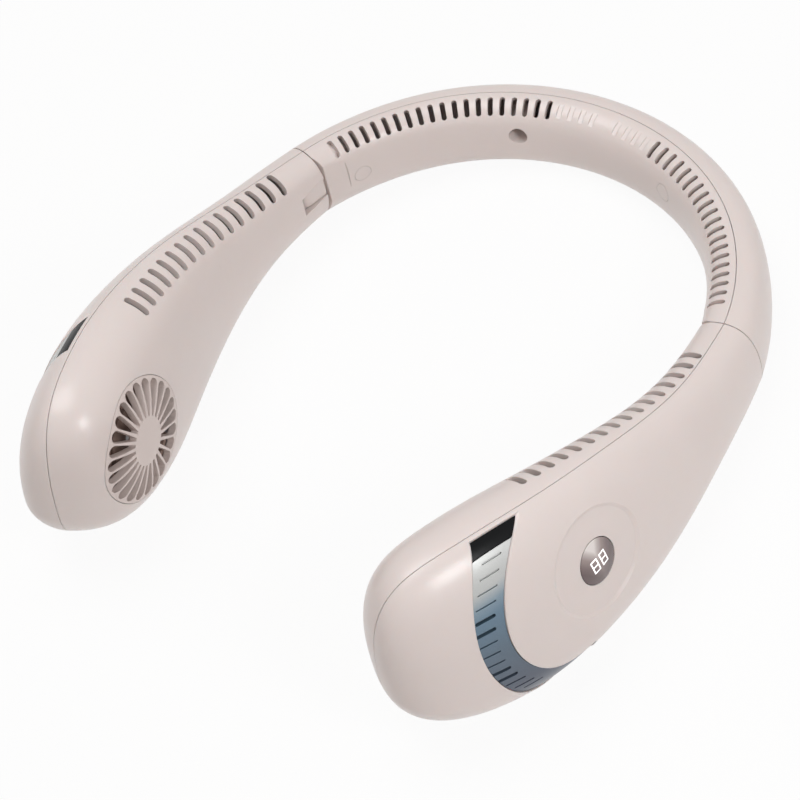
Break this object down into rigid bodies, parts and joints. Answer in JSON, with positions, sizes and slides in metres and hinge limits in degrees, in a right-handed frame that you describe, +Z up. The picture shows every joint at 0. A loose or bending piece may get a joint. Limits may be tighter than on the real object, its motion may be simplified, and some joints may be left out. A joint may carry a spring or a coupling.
{
  "type": "electric neck fan",
  "caption": "Horseshoe-shaped wearable neck fan: a slotted neckband with folding bulbous arms, each holding a blower behind a round intake grille, with a display button on one arm.",
  "frame": {"origin": "centre of the neckband's arc, on the plane that the fan stands on", "axes": "+Z up, +Y towards the back of the neck, +X towards the arm with the display (the wearer's left)"},
  "size_m": [0.1852, 0.2138, 0.0635],
  "materials": {
    "shell": "satin moulded plastic, pale pinkish beige",
    "grille": "satin moulded plastic, pale pinkish beige",
    "inner_plastic": "dark moulded plastic",
    "window": "gloss black",
    "louvre": "metallic paint fading from silver to slate blue",
    "smoked_lens": "smoked gloss dome",
    "display_screen": "dark screen",
    "switch": "black moulded plastic",
    "circuit_board": "green lacquer",
    "battery_wrap": "shrink wrap",
    "inlet": "drawn sheet",
    "steel": "bright steel",
    "bronze": "sintered bronze",
    "stator": "copper windings on a laminated core",
    "magnet": "sintered magnet",
    "wire": "insulated wires"
  },
  "bodies": {
    "neckband": {"band_inner_cover": "shell", "band_outer_cover": "shell", "left_hinge_bracket": "shell", "right_hinge_bracket": "shell", "band_screws": "steel", "band_screw_plugs": "shell", "band_wiring": "wire"},
    "left_arm": {"left_inner_cover": "shell", "left_outer_cover": "shell", "left_louvre_band": "louvre", "left_louvre_window": "window", "left_intake_grille": "grille", "left_hinge_block": "shell", "left_hinge_pin": "steel", "left_blower_housing": "inner_plastic", "left_motor_stator": "stator", "left_motor_bush": "bronze", "left_motor_screws": "steel", "left_battery": "battery_wrap", "left_battery_cradle": "inner_plastic", "display_board": "circuit_board", "display_module": "display_screen", "button_switch": "switch", "board_screws": "steel", "charging_board": "circuit_board", "charging_inlet": "inlet"},
    "right_arm": {"right_inner_cover": "shell", "right_outer_cover": "shell", "right_louvre_band": "louvre", "right_louvre_window": "window", "right_intake_grille": "grille", "right_hinge_block": "shell", "right_hinge_pin": "steel", "right_blower_housing": "inner_plastic", "right_motor_stator": "stator", "right_motor_bush": "bronze", "right_motor_screws": "steel", "right_battery": "battery_wrap", "right_battery_cradle": "inner_plastic"},
    "left_rotor": {"left_impeller": "inner_plastic", "left_motor_shaft": "steel", "left_rotor_magnet": "magnet"},
    "right_rotor": {"right_impeller": "inner_plastic", "right_motor_shaft": "steel", "right_rotor_magnet": "magnet"},
    "display_button": {"display_button": "smoked_lens", "switch_stem": "switch"}
  },
  "joints": [
    {"name": "left_arm_fold", "type": "hinge", "parent": "neckband", "child": "left_arm", "pos_m": [0.07182, 0.01028, 0.02], "axis": [0, 0, -1], "range_deg": [0, 15]},
    {"name": "right_arm_fold", "type": "hinge", "parent": "neckband", "child": "right_arm", "pos_m": [-0.07182, 0.01028, 0.02], "axis": [0, 0, 1], "range_deg": [0, 15]},
    {"name": "left_rotor_spin", "type": "hinge", "parent": "left_arm", "child": "left_rotor", "pos_m": [0.04467, -0.09601, 0.03636], "axis": [-0.9675, 0.2489, 0.0437], "continuous": true},
    {"name": "right_rotor_spin", "type": "hinge", "parent": "right_arm", "child": "right_rotor", "pos_m": [-0.04467, -0.09601, 0.03636], "axis": [0.9675, 0.2489, 0.0437], "continuous": true},
    {"name": "display_button_press", "type": "slide", "parent": "left_arm", "child": "display_button", "axis": [-0.9506, 0.0521, -0.3061], "range_m": [0, 0.0006], "stiffness_N_per_m": 1500, "springref_m": -0.0004}
  ]
}
